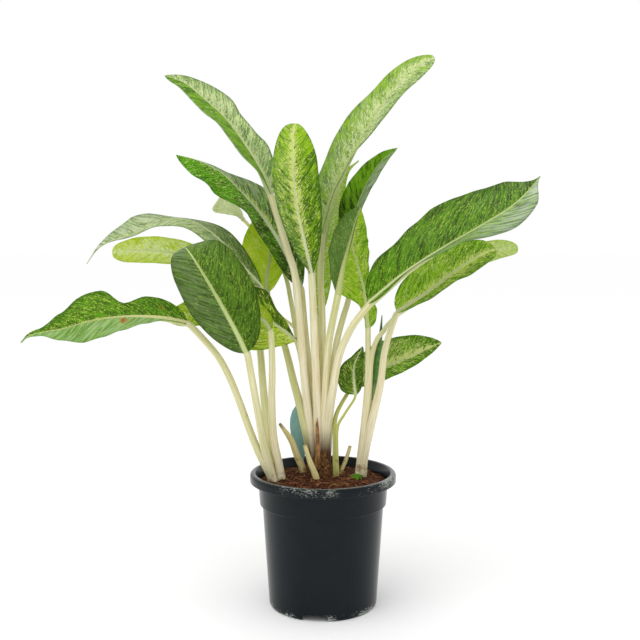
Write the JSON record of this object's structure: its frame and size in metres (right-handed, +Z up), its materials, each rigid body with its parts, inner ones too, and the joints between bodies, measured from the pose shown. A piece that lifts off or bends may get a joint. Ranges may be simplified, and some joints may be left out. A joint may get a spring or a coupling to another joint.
{
  "type": "potted chinese evergreen",
  "caption": "Leafy house plant with long speckled green blades on cream stalks, rooted in a round tapered nursery pot with a turned-down rim.",
  "frame": {"origin": "centre of the pot's underside, on the surface it stands on", "axes": "+Z up; +Y away from the side the picture shows; +X to that side's right"},
  "size_m": [0.566, 0.2067, 0.6346],
  "materials": {
    "pot": "glossy dark slate-black plastic, scuffed",
    "soil": "stands in for damp fibrous reddish-brown potting soil; dull and crumbly",
    "leaf": "stands in for living leaf: satin green with paler speckles",
    "stalk": "stands in for fleshy leaf stalks: smooth cream",
    "thin_stalk": "stands in for thin leaf stalks: smooth yellow-green",
    "new_leaf": "stands in for a rolled young leaf: satin dark green",
    "stub": "stands in for cut leaf stalks: dull straw",
    "sheath": "stands in for a dried leaf sheath: brown and papery",
    "label": "bare teal plastic, matt"
  },
  "bodies": {
    "root": {"pot": "pot", "soil": "soil", "stalks_a": "stalk", "stalks_b": "stalk", "stalks_c": "stalk", "stalks_d": "thin_stalk", "new_leaf": "new_leaf", "leaf_stub_left": "stub", "leaf_stub_front": "stub", "leaf_stub_right": "stub", "dried_sheath": "sheath", "plant_label": "label", "leaf_a1": "leaf", "leaf_a2": "leaf", "leaf_a3": "leaf", "leaf_a4": "leaf", "leaf_b1": "leaf", "leaf_b2": "leaf", "leaf_b3": "leaf", "leaf_b4": "leaf", "leaf_b5": "leaf", "leaf_b6": "leaf", "leaf_b7": "leaf", "leaf_b8": "leaf", "leaf_b9": "leaf", "leaf_b10": "leaf", "leaf_b11": "leaf", "leaf_b12": "leaf", "leaf_c1": "leaf", "leaf_c2": "leaf", "leaf_c3": "leaf", "leaf_d1": "leaf", "leaf_d2": "leaf"}
  },
  "joints": []
}
